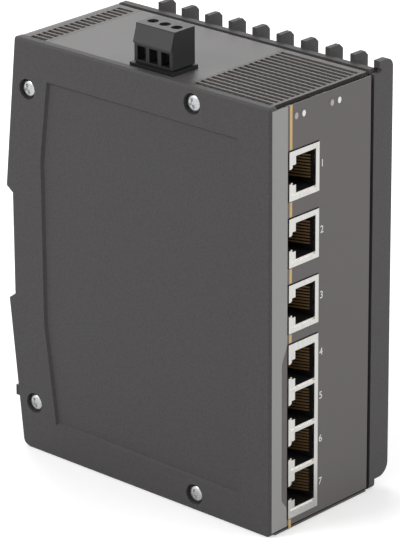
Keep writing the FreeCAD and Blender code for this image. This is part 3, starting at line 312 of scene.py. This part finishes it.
FINISHES: dict[str, SolidFinish | LensFinish] = {
    "textured_paint": SolidFinish(
        "textured_paint", (0.060, 0.057, 0.057), (0.035, 0.033, 0.033), 0.62,
        specular=0.35, grain=Grain.SAND, grain_scale=1500.0, relief=0.09, pit_amount=0.45),
    "case_plastic": SolidFinish(
        "case_plastic", (0.070, 0.066, 0.065), (0.045, 0.042, 0.041), 0.45,
        specular=0.5, grain_scale=2200.0, relief=0.03),
    "panel_foil": SolidFinish(
        "panel_foil", (0.104, 0.096, 0.094), (0.088, 0.082, 0.080), 0.50,
        specular=0.35, grain_scale=3200.0, relief=0.012, pit_amount=0.2),
    "zinc_steel": SolidFinish(
        "zinc_steel", (0.62, 0.63, 0.64), (0.36, 0.36, 0.37), 0.30,
        metallic=1.0, grain=Grain.BRUSHED, grain_scale=900.0, relief=0.01),
    "tin_plate": SolidFinish(
        "tin_plate", (0.78, 0.77, 0.74), (0.55, 0.54, 0.52), 0.24,
        metallic=1.0, grain=Grain.BRUSHED, grain_scale=1200.0, relief=0.006),
    "black_plastic": SolidFinish(
        "black_plastic", (0.011, 0.011, 0.011), (0.006, 0.006, 0.006), 0.42,
        specular=0.38, grain_scale=2600.0, relief=0.015),
    "header_black": SolidFinish(
        "header_black", (0.006, 0.006, 0.006), (0.003, 0.003, 0.003), 0.50,
        specular=0.25, grain_scale=2600.0, relief=0.02),
    "grille_plastic": SolidFinish(
        "grille_plastic", (0.105, 0.096, 0.091), (0.070, 0.064, 0.060), 0.52,
        specular=0.4, grain_scale=2200.0, relief=0.02),
    "shaded_contact": SolidFinish(
        "shaded_contact", (0.22, 0.13, 0.055), (0.10, 0.06, 0.025), 0.45,
        metallic=0.6, grain_scale=2000.0, relief=0.004),
    "gold_contact": SolidFinish(
        "gold_contact", (0.78, 0.55, 0.24), (0.45, 0.29, 0.12), 0.28,
        metallic=1.0, grain_scale=2000.0, relief=0.004),
    "board_green": SolidFinish(
        "board_green", (0.012, 0.085, 0.035), (0.006, 0.045, 0.020), 0.35,
        grain_scale=900.0, relief=0.02, pit_amount=0.5),
    "brass_post": SolidFinish(
        "brass_post", (0.66, 0.48, 0.20), (0.38, 0.26, 0.10), 0.32,
        metallic=1.0, grain=Grain.BRUSHED, grain_scale=1500.0, relief=0.006),
    "clear_pipe": SolidFinish(
        "clear_pipe", (0.62, 0.64, 0.64), (0.45, 0.47, 0.47), 0.22, grain_scale=2500.0,
        relief=0.004),
    "pad_rubber": SolidFinish(
        "pad_rubber", (0.20, 0.26, 0.36), (0.13, 0.17, 0.25), 0.85, grain=Grain.SAND,
        grain_scale=1400.0, relief=0.05),
    "can_metal": SolidFinish(
        "can_metal", (0.60, 0.60, 0.62), (0.40, 0.40, 0.42), 0.30,
        metallic=1.0, grain=Grain.BRUSHED, grain_scale=1300.0, relief=0.006),
    "cast_fixing": SolidFinish(
        "cast_fixing", (0.26, 0.26, 0.265), (0.13, 0.13, 0.135), 0.55,
        metallic=0.85, grain=Grain.SAND, grain_scale=1300.0, relief=0.07, pit_amount=0.5),
    "foot_plastic": SolidFinish(
        "foot_plastic", (0.022, 0.022, 0.023), (0.012, 0.012, 0.012), 0.46,
        grain_scale=2100.0, relief=0.025),
    "spring_steel": SolidFinish(
        "spring_steel", (0.50, 0.50, 0.51), (0.30, 0.30, 0.31), 0.28,
        metallic=1.0, grain=Grain.BRUSHED, grain_scale=1500.0, relief=0.004),
    "silver_ink": SolidFinish(
        "silver_ink", (0.255, 0.252, 0.250), (0.215, 0.212, 0.210), 0.42,
        specular=0.4, grain_scale=3200.0, relief=0.008, pit_amount=0.25),
    "gold_ink": SolidFinish(
        "gold_ink", (0.52, 0.35, 0.14), (0.40, 0.26, 0.10), 0.42,
        specular=0.4, grain_scale=3200.0, relief=0.008, pit_amount=0.25),
    "white_ink": SolidFinish(
        "white_ink", (0.70, 0.70, 0.69), (0.58, 0.58, 0.57), 0.50,
        specular=0.3, grain_scale=3200.0, relief=0.006, pit_amount=0.2),
    "lens_dim": LensFinish("lens_dim", Lamp.DIM, (0.34, 0.33, 0.32)),
    "lens_lit": LensFinish("lens_lit", Lamp.LIT, (0.62, 0.61, 0.58), glow=0.15),
}


# Solids whose look differs from the rest of their record slot
OWN_FINISH: dict[str, str] = {
    "power_header": "header_black",
    "top_grille_front": "grille_plastic",
    "top_grille_rear": "grille_plastic",
    "jack_wires_1": "shaded_contact",
    "jack_wires_2": "shaded_contact",
    "jack_wires_3": "shaded_contact",
    "jack_wires_block": "shaded_contact",
}


@dataclass
class Workshop:
    """Keeps the built materials and dresses pieces with them."""

    effects: Effects
    made: dict[str, bpy.types.Material] = field(default_factory=dict)

    def finish(self, name: str) -> bpy.types.Material:
        """Return a finish's material, built on first use.

        Args:
            name: The finish's name.

        Returns:
            The material.
        """
        if name not in self.made:
            self.made[name] = FINISHES[name].build(self.effects)
        return self.made[name]

    def dress(self, piece: bpy.types.Object, finish: str, body: str, slot: str) -> None:
        """Give a new piece its finish and its body.

        Args:
            piece: The mesh object.
            finish: The finish's name.
            body: The body that it moves with.
            slot: The record's material slot; not used.
        """
        piece.data.materials.clear()
        piece.data.materials.append(self.finish(finish))
        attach(piece, body)
        LOG.info("%s rides on %s in %s", piece.name, body, finish)

    def dress_frame(self) -> None:
        """Give each solid of the frame its own finish, or the one that its slot names."""
        for part in frame["record"]["subparts"]:
            name = OWN_FINISH.get(part["node"], part["material_slot"])
            for place in frame["nodes"][part["node"]].material_slots:
                place.material = self.finish(name)
            LOG.info("%s in %s", part["node"], name)


# Mesh helpers


def mesh_object(name: str, mesh: bmesh.types.BMesh) -> bpy.types.Object:
    """Turn built geometry into an object in the scene.

    Args:
        name: The piece's name.
        mesh: The geometry, in metres, which is freed.

    Returns:
        The new object.
    """
    data = bpy.data.meshes.new(name)
    bmesh.ops.recalc_face_normals(mesh, faces=mesh.faces)
    mesh.to_mesh(data)
    mesh.free()
    piece = bpy.data.objects.new(name, data)
    bpy.context.scene.collection.objects.link(piece)
    return piece


def thicken(mesh: bmesh.types.BMesh, faces: list[bmesh.types.BMFace], depth: float) -> None:
    """Give flat faces a depth along Y.

    Args:
        mesh: The geometry that holds the faces.
        faces: The faces.
        depth: How far they reach along +Y, in metres.
    """
    made = bmesh.ops.extrude_face_region(mesh, geom=faces)
    moved = [item for item in made["geom"] if isinstance(item, bmesh.types.BMVert)]
    bmesh.ops.translate(mesh, verts=moved, vec=(0.0, depth, 0.0))


def panel_print(name: str, outline: list[Point], front: float,
                thick: float) -> bpy.types.Object:
    """Make a thin printed field that faces the front.

    Args:
        name: The piece's name.
        outline: Its corners as (x, z), in metres.
        front: Where its face lies along Y, in metres.
        thick: Its thickness in metres.

    Returns:
        The new piece.
    """
    mesh = bmesh.new()
    corners = [mesh.verts.new((x, front, z)) for x, z in outline]
    thicken(mesh, [mesh.faces.new(corners)], thick)
    return mesh_object(name, mesh)


def panel_ring(name: str, inner: list[Point], outer: list[Point], front: float,
               thick: float) -> bpy.types.Object:
    """Make a thin printed ring that faces the front.

    Args:
        name: The piece's name.
        inner: The corners of its opening as (x, z), in metres.
        outer: As many corners of its outer edge.
        front: Where its face lies along Y, in metres.
        thick: Its thickness in metres.

    Returns:
        The new piece.
    """
    mesh = bmesh.new()
    near = [mesh.verts.new((x, front, z)) for x, z in inner]
    far = [mesh.verts.new((x, front, z)) for x, z in outer]
    count = len(near)
    faces = [mesh.faces.new((near[index], near[(index + 1) % count], far[(index + 1) % count],
                             far[index])) for index in range(count)]
    thicken(mesh, faces, thick)
    return mesh_object(name, mesh)


def oval(x: float, z: float, half_wide: float, half_tall: float, sides: int) -> list[Point]:
    """Return the corners of an upright oval, in metres.

    Args:
        x: Its middle along X.
        z: Its middle height.
        half_wide: Half its width.
        half_tall: Half its height.
        sides: How many corners it has.

    Returns:
        The corners as (x, z).
    """
    angles = [2 * math.pi * step / sides for step in range(sides)]
    return [(x + half_wide * math.cos(angle), z + half_tall * math.sin(angle))
            for angle in angles]


def solid_boxes(node: str) -> list[tuple[Vector, Vector]]:
    """Return the box of each separate solid in a node of the frame.

    Args:
        node: The node's name.

    Returns:
        The lowest and highest corner of each solid, in metres, from the lowest solid up.
    """
    mesh = bmesh.new()
    mesh.from_mesh(frame["nodes"][node].data)
    bmesh.ops.remove_doubles(mesh, verts=mesh.verts, dist=WELD)
    left = set(mesh.verts)
    found = []
    while left:
        island = {left.pop()}
        edge = list(island)
        while edge:
            for link in edge.pop().link_edges:
                for vert in link.verts:
                    if vert in left:
                        left.discard(vert)
                        island.add(vert)
                        edge.append(vert)
        points = [vert.co for vert in island]
        low = Vector([min(point[axis] for point in points) for axis in range(3)])
        high = Vector([max(point[axis] for point in points) for axis in range(3)])
        found.append((low, high))
    mesh.free()
    return sorted(found, key=lambda box: (box[0].z + box[1].z, box[0].y + box[1].y))


def turned(profile: list[Point], steps: int) -> bmesh.types.BMesh:
    """Turn a profile round the Z axis.

    Args:
        profile: Points as (radius, height), in metres, from the axis outwards and down.
        steps: Steps round the axis.

    Returns:
        The turned surface.
    """
    mesh = bmesh.new()
    points = [mesh.verts.new((radius, 0.0, height)) for radius, height in profile]
    edges = [mesh.edges.new(pair) for pair in zip(points, points[1:])]
    bmesh.ops.spin(mesh, geom=points + edges, cent=(0, 0, 0), axis=(0, 0, 1),
                   angle=2 * math.pi, steps=steps, use_merge=True)
    bmesh.ops.remove_doubles(mesh, verts=mesh.verts, dist=WELD)
    return mesh


def cut_with(piece: bpy.types.Object, tools: list[bpy.types.Object]) -> None:
    """Cut tools out of a piece and remove them.

    Args:
        piece: The piece to cut.
        tools: Closed meshes.
    """
    for tool in tools:
        cutter = piece.modifiers.new("cut", "BOOLEAN")
        cutter.object = tool
        cutter.solver = "EXACT"
    bpy.context.view_layer.update()
    view = bpy.context.evaluated_depsgraph_get()
    result = bpy.data.meshes.new_from_object(piece.evaluated_get(view))
    piece.modifiers.clear()
    piece.data = result
    for tool in tools:
        bpy.data.objects.remove(tool, do_unlink=True)


def block(name: str, low: Vector, high: Vector) -> bpy.types.Object:
    """Make a cutting tool that fills a box.

    Args:
        name: The tool's name.
        low: Its lowest corner in metres.
        high: Its highest corner in metres.

    Returns:
        The tool.
    """
    mesh = bmesh.new()
    place = Matrix.Translation((high + low) / 2) @ Matrix.Diagonal((*(high - low), 1.0))
    bmesh.ops.create_cube(mesh, size=1.0, matrix=place)
    return mesh_object(name, mesh)


def smooth_step(value: float) -> float:
    """Return an S-curve from 0 to 1 over the same span, flat at both ends."""
    held = min(max(value, 0.0), 1.0)
    return held * held * (3 - 2 * held)


# Sub-assemblies


@dataclass
class FrontPrint:
    """The silver band, the gold line and the port numbers on the front panel."""

    workshop: Workshop
    proud: float = 0.03 * MM
    thick: float = 0.02 * MM
    band_wide: float = 7.2 * MM
    band_waist: float = 4.7 * MM
    band_curve_top: float = 64.9 * MM
    band_curve_low: float = 57.3 * MM
    band_flare_top: float = 11.9 * MM
    band_flare_low: float = 7.5 * MM
    line_left: float = 8.1 * MM
    line_wide: float = 1.2 * MM
    line_gap: float = 0.5 * MM
    tail_long: float = 3.0 * MM
    number_left: float = 22.6 * MM
    number_tall: float = 2.5 * MM
    number_rise: float = 0.4 * MM
    letter_share: float = 1.4
    steps: int = 16

    def band_edge(self, height: float) -> float:
        """Return how wide the band is at a height.

        Args:
            height: Height above the base, in metres.

        Returns:
            The band's width in metres.
        """
        waist = self.band_wide - self.band_waist
        closing = (self.band_curve_top - height) / (self.band_curve_top - self.band_curve_low)
        opening = (self.band_flare_top - height) / (self.band_flare_top - self.band_flare_low)
        return self.band_wide - waist * (smooth_step(closing) - smooth_step(opening))

    def band(self, low: Vector, high: Vector) -> bpy.types.Object:
        """Make the silver band down the panel's left side.

        Args:
            low: The panel's lowest corner.
            high: The panel's highest corner.

        Returns:
            The band.
        """
        heights = [high.z]
        for top, foot in ((self.band_curve_top, self.band_curve_low),
                          (self.band_flare_top, self.band_flare_low)):
            heights += [top + index / self.steps * (foot - top)
                        for index in range(self.steps + 1)]
        heights.append(low.z)
        edge = [(low.x + self.band_edge(height), height) for height in heights]
        outline = [(low.x, low.z), (low.x, high.z)] + edge
        return panel_print("silver_band", outline, low.y - self.proud, self.thick)

    def line(self, low: Vector, high: Vector, ports: list[Span]) -> list[bpy.types.Object]:
        """Make the gold line, which is broken at each port.

        Args:
            low: The panel's lowest corner.
            high: The panel's highest corner.
            ports: The low and high edge of each port, from the top down, in metres.

        Returns:
            The line's pieces.
        """
        left = low.x + self.line_left
        right = left + self.line_wide
        starts = [high.z] + [port_low - self.line_gap for port_low, _ in ports]
        ends = [port_high + self.line_gap for _, port_high in ports]
        ends.append(ports[-1][0] - self.line_gap - self.tail_long)
        pieces = []
        for number, (top, foot) in enumerate(zip(starts, ends), start=1):
            if top - foot < self.line_gap:
                continue
            outline = [(left, foot), (right, foot), (right, top), (left, top)]
            pieces.append(panel_print(f"gold_line_{number}", outline, low.y - self.proud,
                                      self.thick))
        return pieces

    def number(self, digit: int, x: float, z: float, front: float) -> bpy.types.Object:
        """Make one port number.

        Args:
            digit: The number.
            x: Its left edge in metres.
            z: Its middle height in metres.
            front: Where its face lies along Y, in metres.

        Returns:
            The number as a mesh.
        """
        text = bpy.data.curves.new(f"number_text_{digit}", "FONT")
        text.body = str(digit)
        text.size = self.number_tall * self.letter_share
        text.extrude = self.thick / 2
        text.align_y = "CENTER"
        holder = bpy.data.objects.new(f"number_holder_{digit}", text)
        bpy.context.scene.collection.objects.link(holder)
        bpy.context.view_layer.update()
        view = bpy.context.evaluated_depsgraph_get()
        data = bpy.data.meshes.new_from_object(holder.evaluated_get(view))
        bpy.data.objects.remove(holder, do_unlink=True)
        data.transform(Matrix.Translation((x, front, z)) @ Matrix.Rotation(math.pi / 2, 4, "X"))
        piece = bpy.data.objects.new(f"port_number_{digit}", data)
        bpy.context.scene.collection.objects.link(piece)
        return piece

    def build(self, ports: list[Span]) -> None:
        """Print the whole panel.

        Args:
            ports: The low and high edge of each port, from the top down, in metres.
        """
        low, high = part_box("front_panel")
        self.workshop.dress(self.band(low, high), "silver_ink", "case", "panel_foil")
        for piece in self.line(low, high, ports):
            self.workshop.dress(piece, "gold_ink", "case", "panel_foil")
        for digit, (port_low, port_high) in enumerate(ports, start=1):
            middle = (port_low + port_high) / 2 + self.number_rise
            piece = self.number(digit, low.x + self.number_left, middle, low.y - self.proud)
            self.workshop.dress(piece, "white_ink", "case", "panel_foil")


@dataclass
class Sockets:
    """Where the seven network ports lie."""

    singles: tuple[str, ...] = ("jack_shell_1", "jack_shell_2", "jack_shell_3")
    block: str = "jack_shell_block"
    block_count: int = 4

    def spans(self) -> list[Span]:
        """Return each port's low and high edge, from the top down, in metres."""
        found = []
        for name in self.singles:
            low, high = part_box(name)
            found.append((low.z, high.z))
        low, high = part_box(self.block)
        tall = (high.z - low.z) / self.block_count
        for index in range(self.block_count):
            top = high.z - index * tall
            found.append((top - tall, top))
        return found


@dataclass(frozen=True)
class PanHead:
    """A domed screw head with a cross recess, whose outer face looks along -X."""

    head: float
    thick: float
    crown: float = 0.8 * MM
    recess_long: float = 1.65 * MM
    recess_wide: float = 0.5 * MM
    recess_deep: float = 0.8 * MM
    turn: float = math.radians(20)
    dome_steps: int = 12
    steps: int = 48

    def make(self, name: str, centre: Vector, shank: float = 0.0,
             shank_long: float = 0.0) -> bpy.types.Object:
        """Make a screw.

        Args:
            name: The piece's name.
            centre: The middle of the head's outer face, in metres.
            shank: The shank's radius in metres, or 0 for a head alone.
            shank_long: The shank's length in metres.

        Returns:
            The screw.
        """
        profile = [(0.0, 0.0)]
        for index in range(1, self.dome_steps + 1):
            angle = math.pi / 2 * index / self.dome_steps
            profile.append((self.head * math.sin(angle), -self.crown * (1 - math.cos(angle))))
        profile.append((self.head, -self.thick))
        if shank > 0:
            profile += [(shank, -self.thick), (shank, -self.thick - shank_long)]
        profile.append((0.0, -self.thick - shank_long))
        piece = mesh_object(name, turned(profile, self.steps))
        arms = []
        for label, quarter in (("cross_a", 0.0), ("cross_b", math.pi / 2)):
            arm = block(label, Vector((-self.recess_long, -self.recess_wide, -self.recess_deep)),
                        Vector((self.recess_long, self.recess_wide, self.thick)))
            arm.data.transform(Matrix.Rotation(self.turn + quarter, 4, "Z"))
            arms.append(arm)
        cut_with(piece, arms)
        piece.data.transform(Matrix.Translation(centre) @ Matrix.Rotation(-math.pi / 2, 4, "Y"))
        piece.data.shade_smooth()
        piece.data.set_sharp_from_angle(angle=SHARP_ANGLE)
        return piece


@dataclass
class TieScrews:
    """Pan head screws in the sinks of the cover."""

    workshop: Workshop
    pan: PanHead = PanHead(head=2.75 * MM, thick=1.4 * MM)
    shank: float = 1.3 * MM

    def build(self) -> None:
        """Make the screws and let them stand for the plain ones."""
        for number, (low, high) in enumerate(solid_boxes("tie_screws"), start=1):
            centre = Vector((low.x, (low.y + high.y) / 2, (low.z + high.z) / 2))
            long = high.x - low.x - self.pan.thick
            piece = self.pan.make(f"tie_screw_{number}", centre, self.shank, long)
            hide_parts("tie_screws")
            self.workshop.dress(piece, "zinc_steel", "case", "zinc_steel")


@dataclass
class BoardScrews:
    """The heads of the screws that hold the port board to its posts."""

    workshop: Workshop
    pan: PanHead = PanHead(head=2.4 * MM, thick=1.6 * MM, recess_long=1.45 * MM,
                           recess_wide=0.42 * MM)

    def build(self) -> None:
        """Make a head on the board over the end of each post."""
        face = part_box("port_board")[0].x
        for number, (low, high) in enumerate(solid_boxes("near_posts"), start=1):
            centre = Vector((face - self.pan.thick, (low.y + high.y) / 2, (low.z + high.z) / 2))
            piece = self.pan.make(f"board_screw_{number}", centre)
            self.workshop.dress(piece, "zinc_steel", "case", "zinc_steel")


@dataclass
class PlugBrow:
    """The raised upper face of the plug, which overhangs the wire openings."""

    workshop: Workshop
    top_gap: float = 0.3 * MM
    slope: float = 1.0 * MM
    foot: float = 5.7 * MM
    overhang: float = 0.7 * MM
    lip: float = 0.5 * MM
    end_gap: float = 0.15 * MM

    def build(self) -> None:
        """Make the brow along the face that looks at the cover."""
        low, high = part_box("plug_body")
        top, shoulder = high.z - self.top_gap, high.z - self.foot
        lean = self.slope * (1 - self.top_gap / self.foot)
        section = [(low.x + lean, top), (low.x - self.overhang, shoulder),
                   (low.x - self.overhang, shoulder - self.lip), (low.x, shoulder - self.lip),
                   (low.x, shoulder)]
        mesh = bmesh.new()
        front = low.y + self.end_gap
        face = mesh.faces.new([mesh.verts.new((x, front, z)) for x, z in section])
        thicken(mesh, [face], high.y - low.y - 2 * self.end_gap)
        piece = mesh_object("plug_brow", mesh)
        # Painted highlight: the brow is part of the black plug but takes the foot plastic, twice
        # as light, so the upper face shows lighter as if lit more than the rest
        self.workshop.dress(piece, "foot_plastic", "plug", "black_plastic")


@dataclass
class ClampScrews:
    """Slotted terminal screws down in the plug's wells."""

    workshop: Workshop
    count: int = 3
    slot_wide: float = 0.25 * MM
    slot_deep: float = 0.55 * MM
    head_thick: float = 1.0 * MM
    head: float = 1.5 * MM
    bevel: float = 0.18 * MM
    slot_half_long: float = 1.8 * MM
    shank: float = 1.1 * MM
    steps: int = 32

    def build(self) -> None:
        """Make the screws and let them stand for the plain ones."""
        for number in range(1, self.count + 1):
            name = f"clamp_screw_{number}"
            low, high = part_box(name)
            middle = (low + high) / 2
            long = high.z - low.z
            profile = [(0.0, 0.0), (self.head - self.bevel, 0.0), (self.head, -self.bevel),
                       (self.head, -self.head_thick), (self.shank, -self.head_thick),
                       (self.shank, -long), (0.0, -long)]
            piece = mesh_object(f"slotted_screw_{number}", turned(profile, self.steps))
            cut_with(piece, [block(
                "slot", Vector((-self.slot_half_long, -self.slot_wide, -self.slot_deep)),
                Vector((self.slot_half_long, self.slot_wide, self.head_thick)))])
            piece.data.transform(Matrix.Translation((middle.x, middle.y, high.z)))
            piece.data.shade_smooth()
            piece.data.set_sharp_from_angle(angle=SHARP_ANGLE)
            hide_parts(name)
            self.workshop.dress(piece, "zinc_steel", f"screw_{number}", "zinc_steel")


@dataclass
class LampWindows:
    """The round faces of the four light pipes, two of them lit, and the print around them."""

    workshop: Workshop
    states: tuple[Lamp, ...] = (Lamp.DIM, Lamp.LIT, Lamp.DIM, Lamp.LIT)
    wide: float = 1.6 * MM
    tall: float = 2.1 * MM
    thick: float = 0.04 * MM
    proud: float = 0.06 * MM
    pitch: float = 3.5 * MM
    pair_pitch: float = 16.8 * MM
    pipe_inset: float = 0.1 * MM
    surround: float = 1.65 * MM
    surround_lap: float = 0.05 * MM
    surround_proud: float = 0.03 * MM
    surround_thick: float = 0.02 * MM
    sides: int = 24

    def build(self) -> None:
        """Make the windows over the light pipes' ends."""
        low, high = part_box("light_pipes")
        first = low.x + self.wide / 2 + self.pipe_inset
        middle = (low.z + high.z) / 2
        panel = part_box("front_panel")[0].y
        for index, state in enumerate(self.states):
            x = first + (index % 2) * self.pitch + (index // 2) * self.pair_pitch
            outline = oval(x, middle, self.wide / 2, self.tall / 2, self.sides)
            piece = panel_print(f"lamp_window_{index + 1}", outline, panel - self.proud,
                                self.thick)
            finish = "lens_lit" if state is Lamp.LIT else "lens_dim"
            self.workshop.dress(piece, finish, "case", "clear_pipe")
            opening = oval(x, middle, self.wide / 2 - self.surround_lap,
                           self.tall / 2 - self.surround_lap, self.sides)
            rim = oval(x, middle, self.surround, self.surround, self.sides)
            ring = panel_ring(f"lamp_surround_{index + 1}", opening, rim,
                              panel - self.surround_proud, self.surround_thick)
            self.workshop.dress(ring, "panel_foil", "case", "panel_foil")


@dataclass(frozen=True)
class SoftLamp:
    """A square soft lamp: where it hangs and its side in metres, and its power in watts."""

    name: str
    place: tuple[float, float, float]
    size: float
    power: float


@dataclass
class Studio:
    """The pale floor, the soft light and the camera."""

    floor_size: float = 12.0
    floor_colour: Colour = (0.86, 0.86, 0.86)
    floor_roughness: float = 0.95
    floor_lift: float = 0.38
    sky: float = 0.50
    lamps: tuple[SoftLamp, ...] = (
        SoftLamp("key", (-1.2, 0.6, 1.1), 0.7, 14.0),
        SoftLamp("front_fill", (0.5, -1.4, 0.6), 1.0, 11.0),
        SoftLamp("top_back", (0.7, 0.9, 1.1), 0.8, 7.0),
    )
    camera_place: Vector = field(default_factory=lambda: Vector((-0.82615, -0.75955, 0.508)))
    yaw: float = math.radians(47.50)
    pitch: float = math.radians(21.52)
    roll: float = math.radians(-0.33)
    sensor: float = 36.0
    lens: float = 240.43321
    far_clip: float = 50.0

    def floor(self) -> None:
        """Lay the floor, brighter to the camera only, so that it keeps the shadow."""
        mesh = bmesh.new()
        bmesh.ops.create_grid(mesh, x_segments=1, y_segments=1, size=self.floor_size / 2)
        floor = mesh_object("floor", mesh)
        material = bpy.data.materials.new("floor_paper")
        material.use_nodes = True
        nodes, links = material.node_tree.nodes, material.node_tree.links
        shader = nodes["Principled BSDF"]
        shader.inputs["Base Color"].default_value = (*self.floor_colour, 1.0)
        shader.inputs["Roughness"].default_value = self.floor_roughness
        shader.inputs["Specular IOR Level"].default_value = 0.0
        shader.inputs["Emission Color"].default_value = (1.0, 1.0, 1.0, 1.0)
        rays = nodes.new("ShaderNodeLightPath")
        lift = nodes.new("ShaderNodeMath")
        lift.operation = "MULTIPLY"
        lift.inputs[1].default_value = self.floor_lift
        links.new(rays.outputs["Is Camera Ray"], lift.inputs[0])
        links.new(lift.outputs["Value"], shader.inputs["Emission Strength"])
        floor.data.materials.append(material)

    def world(self) -> None:
        """Set a white surround that lights diffuse surfaces at a plain level."""
        world = bpy.data.worlds.new("studio")
        bpy.context.scene.world = world
        world.use_nodes = True
        nodes, links = world.node_tree.nodes, world.node_tree.links
        rays = nodes.new("ShaderNodeLightPath")
        seen = nodes.new("ShaderNodeMath")
        seen.operation = "MAXIMUM"
        seen_glass = nodes.new("ShaderNodeMath")
        seen_glass.operation = "MAXIMUM"
        level = nodes.new("ShaderNodeMapRange")
        level.inputs["To Min"].default_value = self.sky
        level.inputs["To Max"].default_value = 1.0
        links.new(rays.outputs["Is Camera Ray"], seen.inputs[0])
        links.new(rays.outputs["Is Glossy Ray"], seen.inputs[1])
        links.new(seen.outputs["Value"], seen_glass.inputs[0])
        links.new(rays.outputs["Is Transmission Ray"], seen_glass.inputs[1])
        links.new(seen_glass.outputs["Value"], level.inputs["Value"])
        links.new(level.outputs["Result"], nodes["Background"].inputs["Strength"])
        nodes["Background"].inputs["Color"].default_value = (1.0, 1.0, 1.0, 1.0)

    def hang(self, lamp: SoftLamp) -> None:
        """Hang a soft lamp that faces the object's middle.

        Args:
            lamp: The lamp.
        """
        low, high = CAD_BOX
        target = (low + high) / 2
        light = bpy.data.lights.new(lamp.name, "AREA")
        light.size = lamp.size
        light.energy = lamp.power
        holder = bpy.data.objects.new(lamp.name, light)
        holder.location = lamp.place
        holder.rotation_euler = (target - holder.location).to_track_quat("-Z", "Y").to_euler()
        bpy.context.scene.collection.objects.link(holder)

    def camera(self) -> None:
        """Place the camera at the object's three-quarter view from the cover's side."""
        data = bpy.data.cameras.new("camera")
        data.sensor_width = self.sensor
        data.lens = self.lens
        data.clip_end = self.far_clip
        holder = bpy.data.objects.new("camera", data)
        turn = Euler((math.pi / 2 - self.pitch, 0.0, -self.yaw), "XYZ").to_matrix().to_4x4()
        holder.matrix_world = (Matrix.Translation(self.camera_place) @ turn
                               @ Matrix.Rotation(self.roll, 4, "Z"))
        bpy.context.scene.collection.objects.link(holder)
        bpy.context.scene.camera = holder

    def build(self) -> None:
        """Set up the whole studio."""
        bpy.context.scene.view_settings.view_transform = "Standard"
        self.floor()
        self.world()
        for lamp in self.lamps:
            self.hang(lamp)
        self.camera()


def main() -> None:
    """Build the dressed switch and its studio."""
    logging.basicConfig(level=logging.INFO, format="%(name)s: %(message)s")
    workshop = Workshop(Effects(grain_group(), drift_group()))
    workshop.dress_frame()
    ports = Sockets().spans()
    FrontPrint(workshop).build(ports)
    TieScrews(workshop).build()
    BoardScrews(workshop).build()
    PlugBrow(workshop).build()
    ClampScrews(workshop).build()
    LampWindows(workshop).build()
    Studio().build()


if __name__ == "__main__":
    main()
